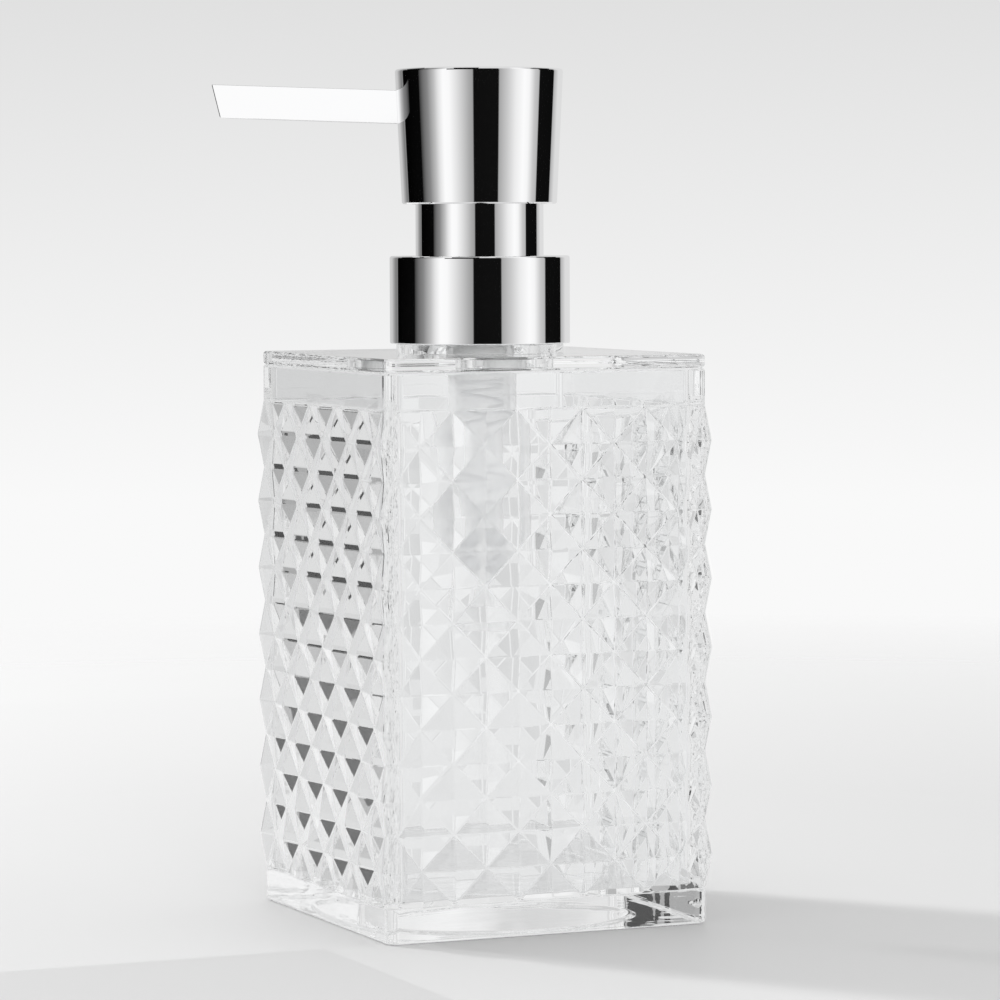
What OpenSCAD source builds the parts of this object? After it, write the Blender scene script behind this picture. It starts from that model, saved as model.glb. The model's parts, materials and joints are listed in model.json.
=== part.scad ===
// Square soap bottle of clear diamond-cut acrylic with a chromed lotion pump.
// Millimetres, +Z up. The origin is the middle of the bottle's flat underside.
// The bottle's faces lie across X and Y, and the spout points out over the -X side.

/* [Bottle] */
// Width of the bottle over its plain bands
width = 72; // [66:0.5:80]
// Radius of the bottle's four upright corners
corner_r = 2; // [1:0.25:3]
// Thickness of the side walls
wall = 3.2; // [2.6:0.1:4.4]
// Height of the plain clear base under the diamonds
base_t = 7.4; // [6:0.2:10]
// Thickness of the bottle's floor
floor_t = 8; // [6:0.5:11]
// Whole diamonds across one face
diamond_cols = 5; // [4:1:6]
// Whole diamonds up one face
diamond_rows = 7; // [6:1:7]
// Height that each diamond stands proud of the face
diamond_h = 1.05; // [0.6:0.05:2]
// Height of the plain band above the diamonds
band_h = 7.8; // [6:0.2:12]
// Diameter of the round groove in the underside
foot_groove_d = 54; // [48:1:58]
// Chamfer along the bottle's and lid's edges
edge_c = 0.4; // [0.2:0.1:0.6]

/* [Lid and neck] */
// Thickness of the lid plate
lid_t = 2.8; // [2:0.1:4]
// Diameter of the clear ring that the pump's collar stands on
ring_d = 35.3; // [34:0.1:36]
// Height of that ring
ring_h = 1.9; // [1.5:0.1:2.5]
// Diameter of the neck under its thread
neck_d = 25.4; // [25.2:0.1:25.6]
// Diameter over the neck's thread
thread_d = 27.6; // [27.4:0.1:27.7]
// Diameter of the neck's bore
neck_bore = 21.6; // [21.2:0.1:22]
// Height of the neck above its ring
neck_h = 9.3; // [9:0.1:9.6]
// Rise of the thread in one turn
pitch = 4.23; // [4.2:0.01:4.3]

/* [Pump outside] */
// Diameter of the chrome collar
collar_d = 38; // [37.6:0.2:40]
// Height of the chrome collar
collar_h = 18.4; // [18:0.2:20]
// Diameter of the chrome sleeve between the collar and the head
sleeve_d = 27; // [26:0.1:27.2]
// Diameter of the head at its lower edge
head_d_low = 32.7; // [32.4:0.1:34]
// Diameter of the head at its top
head_d_top = 35.4; // [34:0.1:37]
// Height of the head
head_h = 28.3; // [28:0.1:30]
// Travel of the head when it is pressed
stroke = 10.5; // [8:0.5:10.5]

/* [Spout] */
// Distance from the pump's axis to the spout's tip
spout_reach = 57.4; // [50:0.2:70]
// Width of the spout
spout_w = 8; // [7:0.5:9]
// Height of the spout
spout_h = 7; // [6.5:0.1:7.5]
// Upward tilt of the spout in degrees
spout_tilt = 2.3; // [0:0.1:3]
// Swivel of the spout at rest, from -X towards +Y in degrees
spout_swivel = 35; // [-180:5:180]
// Slant of the cut at the spout's tip in degrees
spout_cut = 16.5; // [0:0.5:30]

/* [Pump inside] */
// Diameter of the pump's chamber
chamber_d = 11.6; // [11.4:0.1:11.8]
// Outside diameter of the pump's housing
housing_d = 14.4; // [14:0.1:15]
// Diameter of the hollow stem
stem_d = 7; // [6.8:0.1:7.2]
// Diameter of the dip tube
tube_d = 5.9; // [5.8:0.1:5.9]
// Turns in the return spring
spring_turns = 7; // [6:1:9]

/* [Hidden] */

$fn = 96;
cut = 1;                // how far a cutting shape runs past what it cuts
fit = 0.05;             // radial clearance of a running fit
seat_gap = 0.02;        // gap between pieces that are fitted and stay together
face_gap = 0.1;         // gap between faces that turn on each other
arc_steps = 5;          // steps in each rounded corner

// Heights of the bottle, from its underside
half = width / 2;
cols = 2 * diamond_cols;
rows = 2 * diamond_rows;
cell = width / cols;
ledge = 0.25;
pattern_top = base_t + rows * cell;
rim_z = pattern_top + band_h;
lid_low = rim_z + seat_gap;
lid_top = rim_z + lid_t;
ring_top = lid_top + ring_h;
neck_top = ring_top + neck_h;

// Heights of the pump's outside
collar_low = ring_top + face_gap;
collar_top = collar_low + collar_h;
pressed_gap = 0.4;      // gap left between the collar and the pressed head
head_low = collar_top + stroke + pressed_gap;
head_top = head_low + head_h;
sleeve_cover = 3.4;     // how far the raised head still covers the sleeve
sleeve_top = head_low + sleeve_cover;

// Heights of the pump's inside
gasket_t = 1.15;
flange_low = neck_top + gasket_t + seat_gap;
flange_t = 1.6;
flange_r = 13.4;
cap_plate_low = flange_low + flange_t + face_gap;
cap_plate_t = 1.8;
cap_top = cap_plate_low + cap_plate_t;
housing_top = cap_top - face_gap;
guide_low = neck_top - 4.8;
piston_h = 7.6;
piston_top = guide_low - 0.4;
piston_low = piston_top - piston_h;
stem_low = piston_low - 2.2;
plug_flange_t = 1.4;
spring_top = stem_low - plug_flange_t - seat_gap;
spring_h = 30;
spring_low = spring_top - spring_h;
spring_seat_t = 1.8;
chamber_low = spring_low - spring_seat_t - 2 * seat_gap;
ball_bore_r = 3.2;
ball_bore_low = chamber_low - 5;
ball_seat_r = 1.9;
ball_seat_low = ball_bore_low - 1.8;
socket_top = ball_seat_low - 1.7;
socket_low = socket_top - 10.5;
inlet_ball_r = 2.4;
outlet_ball_r = 2.2;
stem_top = head_low + 15.9;
stem_bore_r = 1.9;
outlet_pocket_r = 2.6;
outlet_seat_z = stem_top - 6;
core_r = 14.25;
core_top = head_top - 2.2;

function turn(p, a) = [p.x * cos(a) - p.y * sin(a), p.x * sin(a) + p.y * cos(a)];
function arc(cx, cy, r, a0, a1, n = arc_steps) =
    [for (i = [0:n]) let (a = a0 + (a1 - a0) * i / n) [cx + r * cos(a), cy + r * sin(a)]];

// A ring of points at height z: four sides, each with its own row of heights, and rounded
// corners. heights[0] sets how far the corner itself stands proud.
function side_points(heights) =
    let (inner = half + heights[0] - corner_r)
    [for (c = [0:cols])
        [c == 0 ? -inner : c == cols ? inner : c * cell - half, -half - heights[c]]];
function corner_points(proud) =
    let (inner = half + proud - corner_r)
    [for (i = [1:arc_steps - 1])
        let (a = -90 + 90 * i / arc_steps)
        [inner + corner_r * cos(a), -inner + corner_r * sin(a)]];
function ring_points(z, heights) =
    [for (side = [0:3]) for (p = concat(side_points(heights), corner_points(heights[0])))
        let (q = turn(p, 90 * side)) [q.x, q.y, z]];
function flat_row(proud) = [for (c = [0:cols]) proud];
function diamond_row(r) = [for (c = [0:cols]) (c + r) % 2 == 1 ? diamond_h : 0];

// Each level is [height, row of heights]. Between two lattice rows the fold runs along the
// valley, from one point at face level to the other.
module lofted_block(levels) {
    n = 4 * (cols + arc_steps);
    count = len(levels);
    points = [for (level = levels) each ring_points(level[0], level[1])];
    sides = [
        for (i = [0:count - 2]) for (j = [0:n - 1])
        let (
            k = (j + 1) % n,
            a = i * n + j,
            b = i * n + k,
            c = (i + 1) * n + k,
            d = (i + 1) * n + j,
            across = (j % (cols + arc_steps) + i) % 2 == 1
        )
        each (across ? [[a, d, c], [a, c, b]] : [[a, d, b], [b, d, c]])
    ];
    low_middle = count * n;
    low_cap = [for (j = [0:n - 1]) [low_middle, j, (j + 1) % n]];
    top_ring = (count - 1) * n;
    top_cap = [for (j = [0:n - 1]) [low_middle + 1, top_ring + (j + 1) % n, top_ring + j]];
    polyhedron(
        points = concat(points, [[0, 0, levels[0][0]], [0, 0, levels[count - 1][0]]]),
        faces = concat(low_cap, sides, top_cap),
        convexity = 10
    );
}

module rounded_prism(side, r, low, high) {
    inner = side / 2 - r;
    translate([0, 0, low]) {
        translate([-side / 2, -inner, 0]) cube([side, 2 * inner, high - low]);
        translate([-inner, -side / 2, 0]) cube([2 * inner, side, high - low]);
        for (x = [-inner, inner], y = [-inner, inner])
            translate([x, y, 0]) cylinder(r = r, h = high - low);
    }
}

module tube(r_out, r_in, low, high) {
    difference() {
        translate([0, 0, low]) cylinder(r = r_out, h = high - low);
        translate([0, 0, low - cut]) cylinder(r = r_in, h = high - low + 2 * cut);
    }
}

// A screw thread's ridge: root and crest radii, its widths there, and the height of its
// middle where it starts. It climbs anticlockwise.
module thread_ridge(root_r, crest_r, root_w, crest_w, start_z, turns) {
    steps_per_turn = 36;
    steps = ceil(turns * steps_per_turn);
    section = [[root_r, -root_w / 2], [crest_r, -crest_w / 2], [crest_r, crest_w / 2], [root_r, root_w / 2]];
    outline = crest_r > root_r ? section : [for (i = [3:-1:0]) section[i]];
    points = [
        for (i = [0:steps]) for (p = outline)
        let (a = 360 * i / steps_per_turn)
        [p.x * cos(a), p.x * sin(a), start_z + pitch * a / 360 + p.y]
    ];
    sides = [
        for (i = [0:steps - 1]) for (j = [0:3])
        let (k = (j + 1) % 4)
        each [
            [4 * i + j, 4 * i + 4 + k, 4 * i + 4 + j],
            [4 * i + j, 4 * i + k, 4 * i + 4 + k]
        ]
    ];
    ends = [[3, 2, 1, 0], [for (j = [0:3]) 4 * steps + j]];
    polyhedron(points = points, faces = concat(sides, ends), convexity = 10);
}

// Puts its children in the spout's own frame: +X along the spout, from the pump's axis.
spout_z = head_low + 19.75;
module along_spout() {
    rotate([0, 0, 180 - spout_swivel])
        translate([0, 0, spout_z])
            rotate([0, -spout_tilt, 0])
                children();
}

module spout_box(x0, x1, w, h) {
    translate([x0, -w / 2, -h / 2]) cube([x1 - x0, w, h]);
}

module spout_bore(r, x0, x1) {
    translate([x0, 0, 0]) rotate([0, 90, 0]) cylinder(r = r, h = x1 - x0, $fn = 48);
}

// ---- Bottle ----

thread_embed = 0.6;     // how far a ridge's root is sunk in the wall that carries it
thread_root_w = 2.2;
thread_crest_w = 0.9;
thread_turns = 1.25;
thread_start = neck_top - 1.5 - thread_turns * pitch;
thread_clear = 0.3;     // clearance beyond each thread's crest
thread_offset = 1.85;   // the cap's thread lies this far under the neck's
cap_thread_lead = 0.3;  // the cap's thread starts this part of a turn later
cap_thread_turns = 1.2;

// A shallow rounded groove, as the mould's round insert leaves in the underside.
module foot_groove() {
    groove_w = 3;
    groove_t = 0.5;
    r = (groove_w * groove_w / 4 + groove_t * groove_t) / (2 * groove_t);
    spread = asin(groove_w / 2 / r);
    profile = concat(
        arc(foot_groove_d / 2, groove_t - r, r, 90 - spread, 90 + spread, 4),
        [[(foot_groove_d - groove_w) / 2, -cut], [(foot_groove_d + groove_w) / 2, -cut]]
    );
    rotate_extrude() polygon(profile);
}

module bottle_body() {
    levels = concat(
        [[0, flat_row(-edge_c)], [edge_c, flat_row(0)], [base_t - ledge, flat_row(0)]],
        [for (r = [0:rows]) [base_t + r * cell, diamond_row(r)]],
        [[pattern_top + ledge, flat_row(0)], [rim_z - edge_c, flat_row(0)], [rim_z, flat_row(-edge_c)]]
    );
    color([0.86, 0.94, 0.97, 0.45])
        difference() {
            lofted_block(levels);
            rounded_prism(width - 2 * wall, 1.5, floor_t, rim_z + cut);
            foot_groove();
        }
}

module bottle_lid() {
    levels = [
        [lid_low, flat_row(-edge_c)],
        [lid_low + edge_c, flat_row(0)],
        [lid_top - edge_c, flat_row(0)],
        [lid_top, flat_row(-edge_c)]
    ];
    color([0.84, 0.92, 0.96, 0.5])
        difference() {
            union() {
                lofted_block(levels);
                translate([0, 0, lid_top - cut]) cylinder(d = ring_d, h = ring_h + cut);
                translate([0, 0, lid_top]) cylinder(d = neck_d, h = neck_top - lid_top);
                thread_ridge(neck_d / 2 - thread_embed, thread_d / 2, thread_root_w, thread_crest_w,
                    thread_start, thread_turns);
            }
            translate([0, 0, rim_z - cut]) cylinder(d = neck_bore, h = neck_top - rim_z + 2 * cut);
        }
}

// ---- Pieces that lift with the pump when the closure is unscrewed ----

module neck_gasket() {
    color("gainsboro")
        tube(flange_r - 0.1, neck_bore / 2 + 0.1, neck_top + seat_gap, flange_low - seat_gap / 2);
}

housing_wide_r = 10.4;
pocket_r = 8.9;         // pocket for the lock ring in the housing's mouth
pocket_low = neck_top - 3.5;

module pump_housing() {
    chamber_r = chamber_d / 2;
    outer_r = housing_d / 2;
    socket_r = tube_d / 2 + fit;
    wide_low = neck_top - 6;
    profile = [
        [socket_r, socket_low],
        [4.3, socket_low],
        [4.3, socket_top],
        [outer_r, chamber_low - 2],
        [outer_r, wide_low - 3],
        [housing_wide_r, wide_low],
        [housing_wide_r, flange_low],
        [flange_r, flange_low],
        [flange_r, flange_low + flange_t],
        [9.9, flange_low + flange_t],
        [9.9, housing_top],
        [pocket_r, housing_top],
        [pocket_r, pocket_low],
        [chamber_r, pocket_low],
        [chamber_r, chamber_low],
        [ball_bore_r, chamber_low - 1.5],
        [ball_bore_r, ball_bore_low],
        [ball_seat_r, ball_seat_low],
        [ball_seat_r, socket_top],
        [socket_r, socket_top]
    ];
    vent_r = 0.7;
    color([0.93, 0.94, 0.95, 0.9])
        difference() {
            rotate_extrude() polygon(profile);
            translate([0, 0, piston_top - 1.5]) rotate([0, 90, 0])
                cylinder(r = vent_r, h = outer_r + cut, $fn = 24);
        }
}

module lock_ring() {
    bore_r = stem_d / 2 + fit;
    skirt_r = pocket_r - seat_gap;
    groove_r = 5.3;
    top_z = housing_top + 1.5;
    profile = [
        [bore_r, guide_low],
        [5.2, guide_low],
        [5.2, pocket_low + 4],
        [7.6, pocket_low + 4],
        [7.6, pocket_low + seat_gap],
        [skirt_r, pocket_low + seat_gap],
        [skirt_r, housing_top + seat_gap],
        [9.9, housing_top + seat_gap],
        [9.9, top_z],
        [groove_r, top_z],
        [groove_r, top_z - 1],
        [bore_r, top_z - 1]
    ];
    color("white") rotate_extrude() polygon(profile);
}

module stem_wiper() {
    low = housing_top + 0.5 + seat_gap;
    lip_r = stem_d / 2 + fit;
    profile = [
        [lip_r, low],
        [5.28, low],
        [5.28, low + 1.1],
        [4.6, low + 1.1],
        [lip_r + 0.35, low + 1.6],
        [lip_r, low + 1.6]
    ];
    color("dimgray") rotate_extrude() polygon(profile);
}

module spring_seat() {
    rim_r = chamber_d / 2 - seat_gap;
    stop_low = ball_bore_low + 4.4;
    guide_h = 7;
    flow_r = 0.7;
    color("whitesmoke")
        difference() {
            union() {
                translate([0, 0, chamber_low + seat_gap]) {
                    cylinder(r = rim_r, h = spring_seat_t);
                    cylinder(r = 3.4, h = guide_h);
                }
                translate([0, 0, stop_low]) cylinder(r = 1.5, h = chamber_low - stop_low + cut);
            }
            for (a = [0:90:270])
                rotate([0, 0, a]) translate([2.4, 0, chamber_low - cut])
                    cylinder(r = flow_r, h = guide_h + 2 * cut, $fn = 24);
        }
}

module return_spring() {
    wire_r = 0.45;
    coil_r = 4.3;
    steps_per_turn = 18;
    sides_n = 6;
    steps = spring_turns * steps_per_turn;
    low = spring_low + wire_r;
    rise = spring_h - 2 * wire_r;
    // The end coils lie nearly closed, as on a ground compression spring.
    function climb(t) = t - sin(360 * t) / (2 * PI) * 0.8;
    points = [
        for (i = [0:steps]) for (j = [0:sides_n - 1])
        let (a = 360 * i / steps_per_turn, b = 360 * j / sides_n, r = coil_r + wire_r * cos(b))
        [r * cos(a), r * sin(a), low + rise * climb(i / steps) + wire_r * sin(b)]
    ];
    skin = [
        for (i = [0:steps - 1]) for (j = [0:sides_n - 1])
        let (k = (j + 1) % sides_n, p = i * sides_n, q = p + sides_n)
        each [[p + j, q + k, q + j], [p + j, p + k, q + k]]
    ];
    ends = [
        [for (j = [sides_n - 1:-1:0]) j],
        [for (j = [0:sides_n - 1]) steps * sides_n + j]
    ];
    color("lightsteelblue") polyhedron(points = points, faces = concat(skin, ends), convexity = 20);
}

module dip_tube() {
    tube_low = floor_t + 2.4;
    color([0.95, 0.96, 0.97, 0.8])
        difference() {
            tube(tube_d / 2, tube_d / 2 - 0.75, tube_low, socket_top - seat_gap);
            translate([0, 0, tube_low]) rotate([0, 30, 0])
                translate([-10, -10, -10]) cube([20, 20, 10]);
        }
}

module inlet_ball() {
    lift = sqrt(inlet_ball_r * inlet_ball_r - ball_seat_r * ball_seat_r);
    color("silver")
        translate([0, 0, ball_seat_low + lift + 0.35]) sphere(r = inlet_ball_r, $fn = 48);
}

// ---- Closure, which turns on the neck ----

collar_wall = 1.3;
cap_r = collar_d / 2 - collar_wall - 0.2;
cap_bore_r = thread_d / 2 + thread_clear;

module closure_cap() {
    low = collar_low + 0.6;
    rib_n = 24;
    rib_w = 0.8;
    color("white") {
        difference() {
            union() {
                translate([0, 0, low]) cylinder(r = cap_r, h = cap_top - low);
                for (i = [0:rib_n - 1])
                    rotate([0, 0, i * 360 / rib_n])
                        translate([cap_r - 1, -rib_w / 2, low])
                            cube([1.15, rib_w, cap_top - low]);
            }
            translate([0, 0, low - cut]) cylinder(r = cap_bore_r, h = cap_plate_low - low + cut);
            translate([0, 0, cap_plate_low - cut]) cylinder(r = 10.2, h = cap_plate_t + 2 * cut);
        }
        rotate([0, 0, 360 * cap_thread_lead])
            thread_ridge(cap_bore_r + thread_embed, neck_d / 2 + thread_clear, thread_root_w,
                thread_crest_w, thread_start - thread_offset + cap_thread_lead * pitch, cap_thread_turns);
    }
}

module collar_shell() {
    r = collar_d / 2;
    edge = 0.5;
    sleeve_hole = sleeve_d / 2 + seat_gap;
    boss_low = cap_top + 1.4;
    profile = concat(
        [[r - collar_wall, collar_low]],
        arc(r - edge / 2, collar_low + edge / 2, edge / 2, -90, 0),
        arc(r - edge, collar_top - edge, edge, 0, 90),
        [
            [sleeve_hole, collar_top],
            [sleeve_hole, boss_low],
            [sleeve_hole + 1.7, boss_low],
            [sleeve_hole + 1.7, collar_top - 1.2],
            [r - collar_wall, collar_top - 1.2]
        ]
    );
    color("silver") rotate_extrude() polygon(profile);
}

module neck_sleeve() {
    r = sleeve_d / 2;
    low = cap_top + seat_gap;
    profile = [
        [r - 0.9, low],
        [cap_r, low],
        [cap_r, low + 1.2],
        [r, low + 1.2],
        [r, sleeve_top - 0.2],
        [r - 0.2, sleeve_top],
        [r - 0.9, sleeve_top]
    ];
    color("silver") rotate_extrude() polygon(profile);
}

// ---- Plunger ----

module piston_seal() {
    lip_r = chamber_d / 2 - fit;
    bore_r = stem_d / 2 + fit;
    profile = [
        [bore_r, piston_low],
        [4.6, piston_low],
        [4.9, piston_low + 1.6],
        [lip_r - 0.25, piston_low - 0.2],
        [lip_r, piston_low],
        [lip_r, piston_low + 0.9],
        [5.1, piston_low + 2.6],
        [5.1, piston_top - 2.2],
        [lip_r, piston_top - 0.9],
        [lip_r, piston_top - 0.1],
        [lip_r - 0.25, piston_top],
        [4.8, piston_top - 1.4],
        [4.5, piston_top],
        [bore_r, piston_top]
    ];
    color("ivory") rotate_extrude() polygon(profile);
}

module pump_stem() {
    r = stem_d / 2;
    profile = [
        [stem_bore_r, stem_low],
        [r, stem_low],
        [r, stem_top - 0.3],
        [r - 0.3, stem_top],
        [outlet_pocket_r, stem_top],
        [outlet_pocket_r, outlet_seat_z + 0.7],
        [stem_bore_r, outlet_seat_z]
    ];
    color("white") rotate_extrude() polygon(profile);
}

module stem_plug() {
    plug_r = stem_bore_r - seat_gap;
    flow_r = 1;
    profile = [
        [flow_r, spring_top + seat_gap],
        [4.9, spring_top + seat_gap],
        [4.9, stem_low - seat_gap],
        [plug_r, stem_low - seat_gap],
        [plug_r, stem_low + 4],
        [plug_r - 0.4, stem_low + 5],
        [flow_r, stem_low + 5]
    ];
    color("whitesmoke") rotate_extrude() polygon(profile);
}

module outlet_ball() {
    lift = sqrt(outlet_ball_r * outlet_ball_r - stem_bore_r * stem_bore_r);
    color("silver")
        translate([0, 0, outlet_seat_z + lift + 0.25]) sphere(r = outlet_ball_r, $fn = 48);
}

// ---- Head, which turns with the stem ----

spout_root = 13;        // where the spout's shell stops inside the head
spout_wall = 1;
liner_r = 2.3;
liner_bore_r = 1.5;
nozzle_recess = 3.5;
nozzle_l = 6.5;

module head_core() {
    boss_low = stem_top - 11.5;
    rib_l = sleeve_d / 2 - 6.4;     // the ribs stay inside the sleeve when the head is pressed
    color("white")
        difference() {
            union() {
                translate([0, 0, stem_top]) cylinder(r = core_r, h = core_top - stem_top);
                translate([0, 0, boss_low]) cylinder(r = 5.6, h = stem_top - boss_low + cut);
                for (a = [0:90:270])
                    rotate([0, 0, a - spout_swivel])
                        translate([5, -0.6, stem_top - 3]) cube([rib_l, 1.2, 3 + cut]);
            }
            translate([0, 0, boss_low - cut])
                cylinder(r = stem_d / 2 + seat_gap, h = stem_top - boss_low + cut + seat_gap);
            difference() {
                cylinder(r = stem_bore_r, h = spout_z);
                translate([-3, -0.5, stem_top - 1.2]) cube([6, 1, 1.2 + cut]);
            }
            along_spout() {
                spout_bore(liner_r + seat_gap, -1, core_r + cut);
                spout_box(spout_root - seat_gap, core_r + 5, spout_w + 2 * seat_gap, spout_h + 2 * seat_gap);
            }
        }
}

module head_shell() {
    low_r = head_d_low / 2;
    top_r = head_d_top / 2;
    edge = 0.6;
    lip = 0.3;
    inner_r = core_r + seat_gap;
    profile = concat(
        [[inner_r, head_low], [low_r - lip, head_low], [low_r, head_low + lip]],
        arc(top_r - edge, head_top - edge, edge, 0, 90),
        [[0, head_top], [0, core_top + seat_gap], [inner_r, core_top + seat_gap]]
    );
    color("silver")
        difference() {
            rotate_extrude() polygon(profile);
            along_spout() spout_box(spout_root, 25, spout_w + 2 * seat_gap, spout_h + 2 * seat_gap);
        }
}

// Cuts the spout's tip on a slant, longer at its top.
module tip_cut() {
    translate([spout_reach, 0, spout_h / 2]) rotate([0, spout_cut, 0])
        translate([0, -spout_w, -3 * spout_h]) cube([20, 2 * spout_w, 6 * spout_h]);
}

module spout_shell() {
    inner = 2 * spout_wall;
    color("silver")
        along_spout()
            difference() {
                spout_box(spout_root, spout_reach, spout_w, spout_h);
                spout_box(spout_root - cut, spout_reach + cut, spout_w - inner, spout_h - inner);
                tip_cut();
            }
}

module spout_liner() {
    liner_end = spout_reach - nozzle_recess - 2;
    color("white")
        along_spout()
            difference() {
                spout_bore(liner_r, 3, liner_end);
                spout_bore(liner_bore_r, 3 - cut, liner_end + cut);
            }
}

module nozzle_insert() {
    nozzle_end = spout_reach - nozzle_recess;
    inner = 2 * (spout_wall + seat_gap);
    color("gainsboro")
        along_spout()
            difference() {
                spout_box(nozzle_end - nozzle_l, nozzle_end, spout_w - inner, spout_h - inner);
                spout_bore(liner_r + seat_gap, nozzle_end - nozzle_l - cut, nozzle_end - 2 + seat_gap);
                spout_bore(liner_bore_r, nozzle_end - 3, nozzle_end + cut);
            }
}

bottle_body();
bottle_lid();
neck_gasket();
pump_housing();
lock_ring();
stem_wiper();
spring_seat();
return_spring();
dip_tube();
inlet_ball();
closure_cap();
collar_shell();
neck_sleeve();
piston_seal();
pump_stem();
stem_plug();
outlet_ball();
head_core();
head_shell();
spout_shell();
spout_liner();
nozzle_insert();
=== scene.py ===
"""A square soap bottle of clear diamond-cut acrylic with a chrome pump, in a pale studio."""

import json
import math

import bmesh
import bpy
from mathutils import Euler, Matrix, Vector


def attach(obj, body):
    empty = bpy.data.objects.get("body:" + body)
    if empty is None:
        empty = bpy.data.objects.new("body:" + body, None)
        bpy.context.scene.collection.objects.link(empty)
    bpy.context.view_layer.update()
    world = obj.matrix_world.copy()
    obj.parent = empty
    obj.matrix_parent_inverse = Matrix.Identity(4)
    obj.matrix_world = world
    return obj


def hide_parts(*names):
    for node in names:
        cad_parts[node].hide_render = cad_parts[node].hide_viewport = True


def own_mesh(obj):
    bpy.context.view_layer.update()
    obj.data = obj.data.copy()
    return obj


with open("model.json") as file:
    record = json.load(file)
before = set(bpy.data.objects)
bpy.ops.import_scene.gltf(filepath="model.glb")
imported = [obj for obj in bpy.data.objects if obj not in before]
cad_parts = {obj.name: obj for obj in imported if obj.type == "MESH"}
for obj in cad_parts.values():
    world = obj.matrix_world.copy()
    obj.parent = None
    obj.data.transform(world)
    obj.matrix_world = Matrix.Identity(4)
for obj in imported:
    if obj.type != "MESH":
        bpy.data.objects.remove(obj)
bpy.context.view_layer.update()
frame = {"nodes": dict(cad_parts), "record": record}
NODES = frame["nodes"]
MM = 0.001

# ---------------------------------------------------------------- camera

VIEW_AZIMUTH = -23.4  # degrees; the camera stands off the bottle's front left corner
VIEW_DISTANCE = 0.966
VIEW_HEIGHT = 0.1459
VIEW_SIDE = 0.0041  # metres the camera stands to its right of the pump's axis
VIEW_PITCH = -3.457
VIEW_ROLL = -0.22
LENS = 164.6


def towards(azimuth):
    """The level unit vector that points from the object to a camera at this azimuth."""
    a = math.radians(azimuth)
    return Vector((math.sin(a), -math.cos(a), 0))


def add_camera():
    data = bpy.data.cameras.new("camera")
    data.lens = LENS
    data.sensor_width = 36
    data.clip_start, data.clip_end = 0.05, 50
    camera = bpy.data.objects.new("camera", data)
    bpy.context.scene.collection.objects.link(camera)
    back = towards(VIEW_AZIMUTH)
    right = Vector((-back.y, back.x, 0))
    camera.location = back * VIEW_DISTANCE + right * VIEW_SIDE + Vector((0, 0, VIEW_HEIGHT))
    turn = Euler((math.radians(90 + VIEW_PITCH), 0, math.radians(VIEW_AZIMUTH))).to_matrix()
    roll = Matrix.Rotation(math.radians(VIEW_ROLL), 3, "Z")
    camera.rotation_euler = (turn @ roll).to_euler()
    bpy.context.scene.camera = camera


add_camera()

# ---------------------------------------------------------------- material helpers


def srgb(value):
    """Linear light for an 8-bit grey."""
    v = value / 255
    return v / 12.92 if v <= 0.04045 else ((v + 0.055) / 1.055) ** 2.4


def new_material(name):
    """A material with only a Principled shader, its node tree and that shader."""
    mat = bpy.data.materials.new(name)
    mat.use_nodes = True
    nt = mat.node_tree
    nt.nodes.clear()
    out = nt.nodes.new("ShaderNodeOutputMaterial")
    shader = nt.nodes.new("ShaderNodeBsdfPrincipled")
    nt.links.new(shader.outputs[0], out.inputs["Surface"])
    return mat, nt, shader, out


def place(nt):
    """Where a point lies on the object, in metres."""
    return nt.nodes.new("ShaderNodeTexCoord").outputs["Object"]


def noise(nt, scale, detail):
    """Smooth noise over the object; scale is how many times it changes in a metre."""
    tex = nt.nodes.new("ShaderNodeTexNoise")
    tex.inputs["Scale"].default_value = scale
    tex.inputs["Detail"].default_value = detail
    nt.links.new(place(nt), tex.inputs["Vector"])
    return tex.outputs["Fac"]


def spread(nt, value, low, high, from_low=0.0, from_high=1.0):
    """Maps a value from one range to another."""
    node = nt.nodes.new("ShaderNodeMapRange")
    node.inputs["From Min"].default_value = from_low
    node.inputs["From Max"].default_value = from_high
    node.inputs["To Min"].default_value = low
    node.inputs["To Max"].default_value = high
    nt.links.new(value, node.inputs["Value"])
    return node.outputs["Result"]


def bump(nt, shader, height, strength, distance):
    """Roughens a shader's normal with a height that is at most the distance, in metres."""
    node = nt.nodes.new("ShaderNodeBump")
    node.inputs["Strength"].default_value = strength
    node.inputs["Distance"].default_value = distance
    nt.links.new(height, node.inputs["Height"])
    nt.links.new(node.outputs[0], shader.inputs["Normal"])


# ---------------------------------------------------------------- materials

ACRYLIC_IOR = 1.49
BASE_FLOW = 4  # how much more the thick base's ripple shows than the walls' one
BASE_FLOW_Z = (6 * MM, 10 * MM)  # the heights between which the ripple calms down


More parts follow.
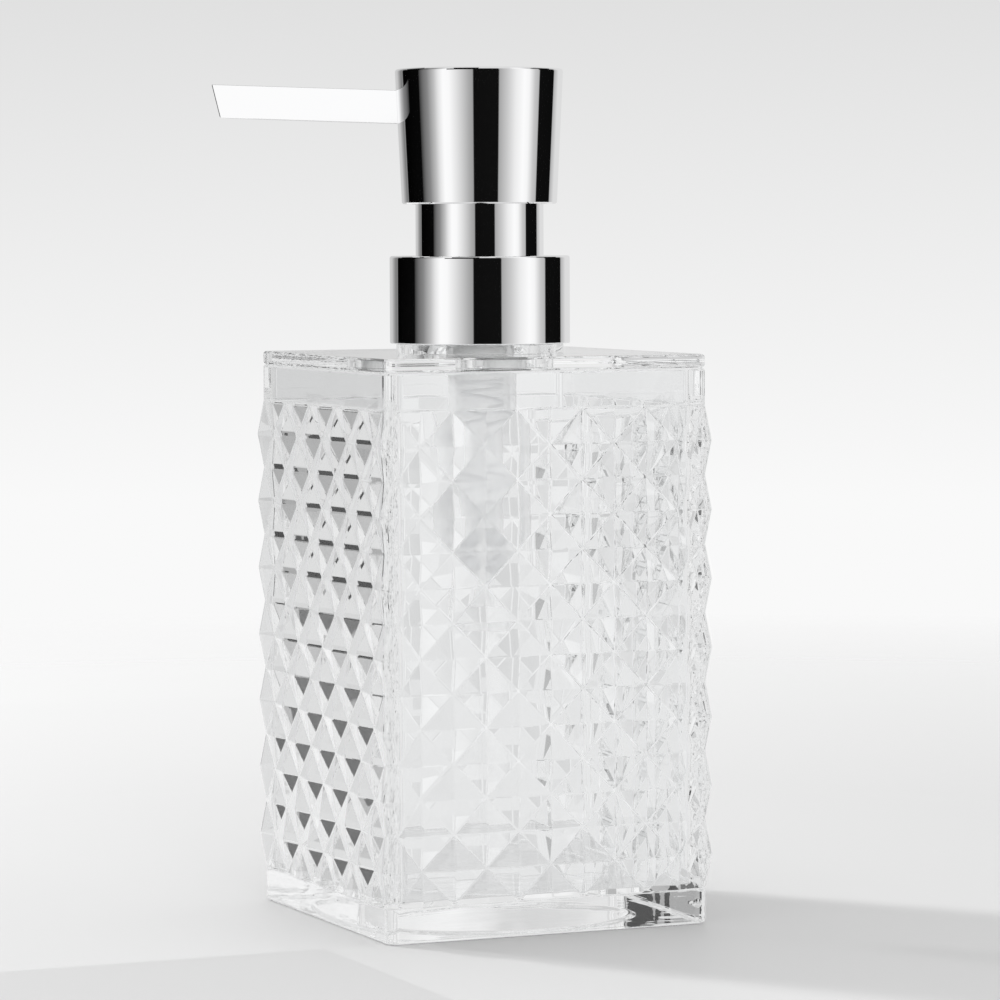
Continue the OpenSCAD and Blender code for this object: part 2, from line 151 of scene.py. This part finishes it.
def clear_plastic(name, tint, shade, ripple):
    """Polished clear acrylic with a moulded ripple; shade is what a lamp keeps at each surface."""
    mat, nt, shader, out = new_material(name)
    shader.inputs["Base Color"].default_value = (*tint, 1)
    shader.inputs["Transmission Weight"].default_value = 1
    shader.inputs["IOR"].default_value = ACRYLIC_IOR
    nt.links.new(spread(nt, noise(nt, 90, 3), 0.0, 0.02, 0.35, 0.75), shader.inputs["Roughness"])
    split = nt.nodes.new("ShaderNodeSeparateXYZ")
    nt.links.new(place(nt), split.inputs[0])
    flow = nt.nodes.new("ShaderNodeMath")
    flow.operation = "MULTIPLY"
    nt.links.new(spread(nt, split.outputs["Z"], BASE_FLOW, 1, *BASE_FLOW_Z), flow.inputs[0])
    nt.links.new(noise(nt, 75, 1), flow.inputs[1])
    bump(nt, shader, flow.outputs[0], ripple, 0.001)
    clear = nt.nodes.new("ShaderNodeBsdfTransparent")
    clear.inputs[0].default_value = (shade, shade, shade, 1)
    path = nt.nodes.new("ShaderNodeLightPath")
    mix = nt.nodes.new("ShaderNodeMixShader")
    nt.links.new(path.outputs["Is Shadow Ray"], mix.inputs[0])
    nt.links.new(shader.outputs[0], mix.inputs[1])
    nt.links.new(clear.outputs[0], mix.inputs[2])
    nt.links.new(mix.outputs[0], out.inputs["Surface"])
    return mat


def chrome(name):
    """Bright plated chrome: a mirror with the faintest haze and plating ripple."""
    mat, nt, shader, _ = new_material(name)
    shader.inputs["Base Color"].default_value = (0.97, 0.97, 0.975, 1)
    shader.inputs["Metallic"].default_value = 1
    nt.links.new(spread(nt, noise(nt, 60, 4), 0.012, 0.04, 0.3, 0.7), shader.inputs["Roughness"])
    bump(nt, shader, noise(nt, 45, 2), 0.01, 0.0005)
    return mat


def moulded(name, colour, low, high):
    """Moulded plastic with a fine grain, slight colour variation, and roughness from low to high."""
    mat, nt, shader, _ = new_material(name)
    blend = nt.nodes.new("ShaderNodeMix")
    blend.data_type = "RGBA"
    blend.inputs[6].default_value = (*[c * 0.93 for c in colour], 1)
    blend.inputs[7].default_value = (*colour, 1)
    nt.links.new(noise(nt, 70, 3), blend.inputs[0])
    nt.links.new(blend.outputs[2], shader.inputs["Base Color"])
    nt.links.new(spread(nt, noise(nt, 300, 2), low, high), shader.inputs["Roughness"])
    bump(nt, shader, noise(nt, 1200, 2), 0.25, 0.00004)
    return mat


def translucent(name, tint, cover):
    """Unfilled polypropylene: cloudy; cover is how much it hides of what is behind it."""
    mat, nt, shader, out = new_material(name)
    shader.inputs["Base Color"].default_value = (*tint, 1)
    nt.links.new(spread(nt, noise(nt, 250, 3), 0.25, 0.4), shader.inputs["Roughness"])
    bump(nt, shader, noise(nt, 500, 2), 0.1, 0.00005)
    clear = nt.nodes.new("ShaderNodeBsdfTransparent")
    mix = nt.nodes.new("ShaderNodeMixShader")
    mix.inputs[0].default_value = cover
    nt.links.new(clear.outputs[0], mix.inputs[1])
    nt.links.new(shader.outputs[0], mix.inputs[2])
    nt.links.new(mix.outputs[0], out.inputs["Surface"])
    return mat


def steel(name):
    """Drawn or ground steel with a fine grain."""
    mat, nt, shader, _ = new_material(name)
    shader.inputs["Base Color"].default_value = (0.72, 0.73, 0.75, 1)
    shader.inputs["Metallic"].default_value = 1
    nt.links.new(spread(nt, noise(nt, 400, 3), 0.12, 0.3), shader.inputs["Roughness"])
    bump(nt, shader, noise(nt, 900, 2), 0.1, 0.00002)
    return mat


MATERIALS = {
    "clear_body": clear_plastic("clear_body", (0.988, 0.992, 0.994), 0.72, 0.055),
    "clear_lid": clear_plastic("clear_lid", (0.988, 0.992, 0.994), 0.9, 0.012),
    "chrome_plate": chrome("chrome_plate"),
    "white_plastic": moulded("white_plastic", (0.95, 0.95, 0.94), 0.25, 0.4),
    "milky_plastic": translucent("milky_plastic", (0.99, 0.992, 0.994), 0.4),
    "tube_plastic": translucent("tube_plastic", (0.985, 0.988, 0.99), 0.06),
    "soft_seal": moulded("soft_seal", (0.8, 0.81, 0.8), 0.45, 0.6),
    "dark_seal": moulded("dark_seal", (0.03, 0.03, 0.032), 0.5, 0.65),
    "spring_wire": steel("spring_wire"),
    "ball_steel": steel("ball_steel"),
}


def assign(obj, material):
    obj.data.materials.clear()
    obj.data.materials.append(material)


for part in frame["record"]["subparts"]:
    assign(NODES[part["node"]], MATERIALS[part["material_slot"]])

# ---------------------------------------------------------------- rounded edges

WELD_REACH = 0.01 * MM

# Node, width of the rounding, segments, and the least angle that is rounded, in degrees. The
# diamonds' ridges are blunt, so the body's least angle is small.
ROUNDED = (
    ("bottle_body", 0.24 * MM, 3, 9),
    ("bottle_lid", 0.12 * MM, 2, 30),
    ("spout_shell", 0.35 * MM, 4, 30),
)


def soften(obj, width, segments, angle):
    """Rounds an object's sharp edges with a bevel."""
    mod = obj.modifiers.new("soft_edges", "BEVEL")
    mod.width = width
    mod.segments = segments
    mod.limit_method = "ANGLE"
    mod.angle_limit = math.radians(angle)
    mod.miter_outer = "MITER_ARC"
    mod.use_clamp_overlap = False


def weld(obj):
    """Joins the mesh's split corners, so that its edges can be rounded."""
    mod = obj.modifiers.new("weld", "WELD")
    mod.merge_threshold = WELD_REACH


for node, width, segments, angle in ROUNDED:
    weld(NODES[node])
    soften(NODES[node], width, segments, angle)

# ---------------------------------------------------------------- return spring


def add_spring():
    """The return spring again, as its own welded piece attached to the pump."""
    spring = bpy.data.objects.new("spring_coil", NODES["return_spring"].data.copy())
    bpy.context.scene.collection.objects.link(spring)
    weld(spring)
    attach(spring, "pump")
    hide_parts("return_spring")
    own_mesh(spring)


add_spring()

# ---------------------------------------------------------------- studio

BACKDROP = (srgb(249), srgb(222))  # a little under eye level, and a little over it
BACKDROP_SLOPE = 0.06  # how far under and over, as the sine of the angle
FLOOR_HALF = 6
FLOOR_Z = -0.15 * MM  # a hair under the foot, so that the two don't lie in one plane
FLOOR_GREY = 0.6
FLOOR_FADE = (0.22, 0.75)  # distances between which the floor fades away
TENT_RADIUS = 0.45
TENT_FOOT = -2 * MM
TENT_TOP = 0.7
CARD_RADIUS = TENT_RADIUS - 0.01  # the smaller cards stand just inside the tent
CARD_STEP = 2  # degrees between the corners of a curved card
ALL_ROUND = (-180, 180)

# What stands around the object, as (azimuth, grey) points from -180 to 180. Azimuth 0 is
# towards the camera and positive is to its right. Polished chrome mirrors lit panels with
# black ones between them. The clear bottle is lit by a tent of pale cloth.
PUMP_PANELS = (
    (-180, 214), (-150, 200), (-138, 150), (-132, 120), (-128, 150), (-127.9, 2), (-89, 8),
    (-88.9, 60), (-82, 112), (-75, 135), (-64, 192), (-57, 232), (-50, 255),
    (-41, 252), (-30, 226), (-14, 174), (-8, 156), (-7.9, 14), (28, 16), (28.1, 168),
    (40, 204), (52, 238), (65, 255), (73, 248), (83, 200), (91, 180), (91.1, 14), (124, 12),
    (124.1, 176), (140, 222), (180, 222),
)
LOW_CLOTH = (
    (-180, 214), (-177, 246), (-173, 222), (-169, 252), (-165, 204), (-161, 238), (-157, 210),
    (-152, 240), (-147, 224), (-120, 222), (-100, 238), (-70, 250), (0, 255), (70, 248),
    (100, 238), (130, 222), (136, 205), (145, 238), (150, 210), (155, 244), (160, 214),
    (165, 250), (170, 208), (174, 250), (178, 218), (180, 214),
)
HIGH_CLOTH = (
    (-180, 238), (-175, 226), (-170, 228), (-166, 242), (-162, 192), (-156, 242), (-150, 208),
    (-125, 204), (-115, 165), (-105, 215), (-90, 240), (0, 255), (90, 240), (130, 214),
    (136, 200), (144, 246), (150, 210), (157, 250), (164, 214), (169, 246), (175, 234),
    (180, 238),
)
CLOTH_SEAM = 0.09  # height at which the tent's lower cloth meets its upper one

# Cards that the spout mirrors: name, azimuths, heights in metres, and grey. A white one fills
# its front, and dark ones draw its edges.
SPOUT_CARDS = (
    ("spout_card", (-34, -14), (0.176, 0.21), 255),
    ("spout_edge_high", (-45, 0), (0.25, 1.3), 25),
    ("spout_edge_low", (-45, 0), (TENT_FOOT, 0.065), 25),
)
SPOUT_AZIMUTH = -24  # the middle of the white one
SPOUT_SHEET_AWAY = 0.27  # the dark sheet on the floor that the spout's lower edge mirrors
SPOUT_SHEET_HALF = 0.15
SPOUT_SHEET_GREY = 25

# Flags behind the bottle to its left, seen only through it, in the same terms.
GLASS_FLAGS = (
    ("flag_black", (-132.3, -128), (0.03, 0.094), 58),
    ("flag_edge", (-134.3, -132.3), (0.03, 0.094), 172),
    ("flag_grey", (-134.3, -128), (0.094, 0.19), 180),
    ("flag_base", (-140, -136.5), (0.03, 0.08), 60),
    ("flag_base_edge", (-136.5, -134.3), (0.03, 0.08), 165),
    ("flag_corner", (-146, -141), (0.086, 0.12), 100),
)

# The floor as the glass shows it: name, half its width, height, and grey. The small near sheet is
# darker as painted shadow: it stands for the floor's shade under the bottle.
GLASS_FLOOR = (
    ("glass_floor_far", TENT_RADIUS, -0.1 * MM, 232),
    # painted shadow: a darker sheet for the floor in the bottle's shade, seen only through the glass
    ("glass_floor_painted_shadow", 0.05, -0.05 * MM, 204),
)

# Lamps: name, azimuth, height, distance, size, and power in watts.
LAMPS = (
    ("overhead", 0, 0.68, 0.05, (0.3, 0.3), 0.5),
    ("key", -122, 0.75, 1.1, (0.12, 0.12), 15.5),
    ("fill", 15, 0.26, 1.0, (0.5, 0.3), 6),
)
LAMPS_AIM = Vector((0, 0, 0.08))


def light_from_azimuth(mat, points):
    """Makes a material glow with the grey that the points give for each azimuth."""
    nt = mat.node_tree
    nt.nodes.clear()
    out = nt.nodes.new("ShaderNodeOutputMaterial")
    glow = nt.nodes.new("ShaderNodeEmission")
    coords = nt.nodes.new("ShaderNodeTexCoord")
    split = nt.nodes.new("ShaderNodeSeparateXYZ")
    nt.links.new(coords.outputs["Object"], split.inputs[0])
    flip = nt.nodes.new("ShaderNodeMath")
    flip.operation = "MULTIPLY"
    flip.inputs[1].default_value = -1
    nt.links.new(split.outputs["Y"], flip.inputs[0])
    angle = nt.nodes.new("ShaderNodeMath")
    angle.operation = "ARCTAN2"
    nt.links.new(split.outputs["X"], angle.inputs[0])
    nt.links.new(flip.outputs[0], angle.inputs[1])
    ramp = nt.nodes.new("ShaderNodeValToRGB")
    nt.links.new(spread(nt, angle.outputs[0], 0, 1, -math.pi, math.pi), ramp.inputs[0])
    stops = ramp.color_ramp.elements
    while len(stops) < len(points):
        stops.new(0.5)
    for stop, (azimuth, grey) in zip(stops, points):
        stop.position = (azimuth + 180) / 360
        light = srgb(grey)
        stop.color = (light, light, light, 1)
    nt.links.new(ramp.outputs[0], glow.inputs[0])
    nt.links.new(glow.outputs[0], out.inputs[0])


def glow(obj, points):
    """Gives an object a material that glows, and that isn't sampled as a lamp."""
    mat = bpy.data.materials.new(obj.name)
    mat.use_nodes = True
    mat.cycles.emission_sampling = "NONE"
    light_from_azimuth(mat, points)
    assign(obj, mat)


def show_only(obj, seen_by):
    """Shows an object only to one kind of ray: reflections, or what is seen through glass."""
    for way in ("camera", "diffuse", "glossy", "transmission", "shadow", "volume_scatter"):
        setattr(obj, "visible_" + way, way == seen_by)


def add_card(name, seen_by, span, height, points, radius):
    """A curved card around the object, seen only in reflections or only through glass."""
    from_azimuth, to_azimuth = span
    mesh = bpy.data.meshes.new(name)
    bm = bmesh.new()
    steps = max(2, round((to_azimuth - from_azimuth) / CARD_STEP))
    turns = [
        math.radians(from_azimuth + (to_azimuth - from_azimuth) * i / steps)
        for i in range(steps + 1)
    ]
    rows = [
        [bm.verts.new((radius * math.sin(a), -radius * math.cos(a), z)) for a in turns]
        for z in height
    ]
    for i in range(steps):
        bm.faces.new((rows[0][i], rows[0][i + 1], rows[1][i + 1], rows[1][i]))
    bm.to_mesh(mesh)
    bm.free()
    card = bpy.data.objects.new(name, mesh)
    bpy.context.scene.collection.objects.link(card)
    card.rotation_euler.z = math.radians(VIEW_AZIMUTH)
    glow(card, points)
    show_only(card, seen_by)


def even(grey):
    """The points of a card that is one grey all over."""
    return ((-180, grey), (180, grey))


def add_tent():
    """The panels and cards that the chrome mirrors, and the cloths seen through the bottle."""
    panels, low, high = (TENT_FOOT, TENT_TOP), (TENT_FOOT, CLOTH_SEAM), (CLOTH_SEAM, TENT_TOP)
    add_card("tent_panels", "glossy", ALL_ROUND, panels, PUMP_PANELS, TENT_RADIUS)
    for name, span, height, grey in SPOUT_CARDS:
        add_card(name, "glossy", span, height, even(grey), CARD_RADIUS)
    place_of_sheet = towards(VIEW_AZIMUTH + SPOUT_AZIMUTH) * SPOUT_SHEET_AWAY
    add_sheet(
        "spout_edge_floor", "glossy", place_of_sheet, SPOUT_SHEET_HALF, -0.1 * MM, SPOUT_SHEET_GREY
    )
    add_card("tent_low", "transmission", ALL_ROUND, low, LOW_CLOTH, TENT_RADIUS)
    add_card("tent_high", "transmission", ALL_ROUND, high, HIGH_CLOTH, TENT_RADIUS)
    for name, span, height, grey in GLASS_FLAGS:
        add_card(name, "transmission", span, height, even(grey), CARD_RADIUS)
    for name, half, z, grey in GLASS_FLOOR:
        add_sheet(name, "transmission", Vector(), half, z, grey)


def add_sheet(name, seen_by, centre, half, z, grey):
    """A level square sheet that glows evenly, for reflections or behind the glass only."""
    mesh = bpy.data.meshes.new(name)
    corners = [(-half, -half, 0), (half, -half, 0), (half, half, 0), (-half, half, 0)]
    mesh.from_pydata(corners, [], [(0, 1, 2, 3)])
    sheet = bpy.data.objects.new(name, mesh)
    bpy.context.scene.collection.objects.link(sheet)
    sheet.location = centre + Vector((0, 0, z))
    glow(sheet, even(grey))
    show_only(sheet, seen_by)


def add_world():
    """A pale backdrop that darkens a little towards its top."""
    world = bpy.data.worlds.new("studio")
    bpy.context.scene.world = world
    world.use_nodes = True
    nt = world.node_tree
    coords = nt.nodes.new("ShaderNodeTexCoord")
    split = nt.nodes.new("ShaderNodeSeparateXYZ")
    nt.links.new(coords.outputs["Generated"], split.inputs[0])
    shade = spread(nt, split.outputs["Z"], *BACKDROP, -BACKDROP_SLOPE, BACKDROP_SLOPE)
    nt.links.new(shade, nt.nodes["Background"].inputs[0])


def add_floor():
    """A pale floor that fades into the backdrop with distance, so no horizon shows."""
    mesh = bpy.data.meshes.new("floor")
    far, z = FLOOR_HALF, FLOOR_Z
    corners = [(-far, -far, z), (far, -far, z), (far, far, z), (-far, far, z)]
    mesh.from_pydata(corners, [], [(0, 1, 2, 3)])
    floor = bpy.data.objects.new("floor", mesh)
    bpy.context.scene.collection.objects.link(floor)
    mat, nt, shader, out = new_material("floor")
    shader.inputs["Base Color"].default_value = (FLOOR_GREY, FLOOR_GREY, FLOOR_GREY, 1)
    shader.inputs["Roughness"].default_value = 0.55
    coords = nt.nodes.new("ShaderNodeTexCoord")
    length = nt.nodes.new("ShaderNodeVectorMath")
    length.operation = "LENGTH"
    nt.links.new(coords.outputs["Object"], length.inputs[0])
    fade = spread(nt, length.outputs["Value"], 0, 1, *FLOOR_FADE)
    clear = nt.nodes.new("ShaderNodeBsdfTransparent")
    mix = nt.nodes.new("ShaderNodeMixShader")
    nt.links.new(fade, mix.inputs[0])
    nt.links.new(shader.outputs[0], mix.inputs[1])
    nt.links.new(clear.outputs[0], mix.inputs[2])
    nt.links.new(mix.outputs[0], out.inputs["Surface"])
    assign(floor, mat)


def add_lamp(name, azimuth, height, distance, size, power):
    """A soft lamp aimed at the object, which lights it but isn't seen or mirrored."""
    data = bpy.data.lights.new(name, "AREA")
    data.shape = "RECTANGLE"
    data.size, data.size_y = size
    data.energy = power
    lamp = bpy.data.objects.new(name, data)
    bpy.context.scene.collection.objects.link(lamp)
    lamp.location = towards(VIEW_AZIMUTH + azimuth) * distance + Vector((0, 0, height))
    lamp.rotation_euler = (LAMPS_AIM - lamp.location).to_track_quat("-Z", "Y").to_euler()
    lamp.visible_camera = False
    lamp.visible_glossy = False
    lamp.visible_transmission = False


def add_studio():
    add_world()
    add_floor()
    add_tent()
    for lamp in LAMPS:
        add_lamp(*lamp)


def set_rendering():
    """Plain colours, and enough bounces for light to cross both walls and their diamonds."""
    scene = bpy.context.scene
    scene.view_settings.view_transform = "Standard"
    scene.cycles.max_bounces = 48
    scene.cycles.diffuse_bounces = 12
    scene.cycles.transmission_bounces = 40
    scene.cycles.glossy_bounces = 40
    scene.cycles.transparent_max_bounces = 32


add_studio()
set_rendering()
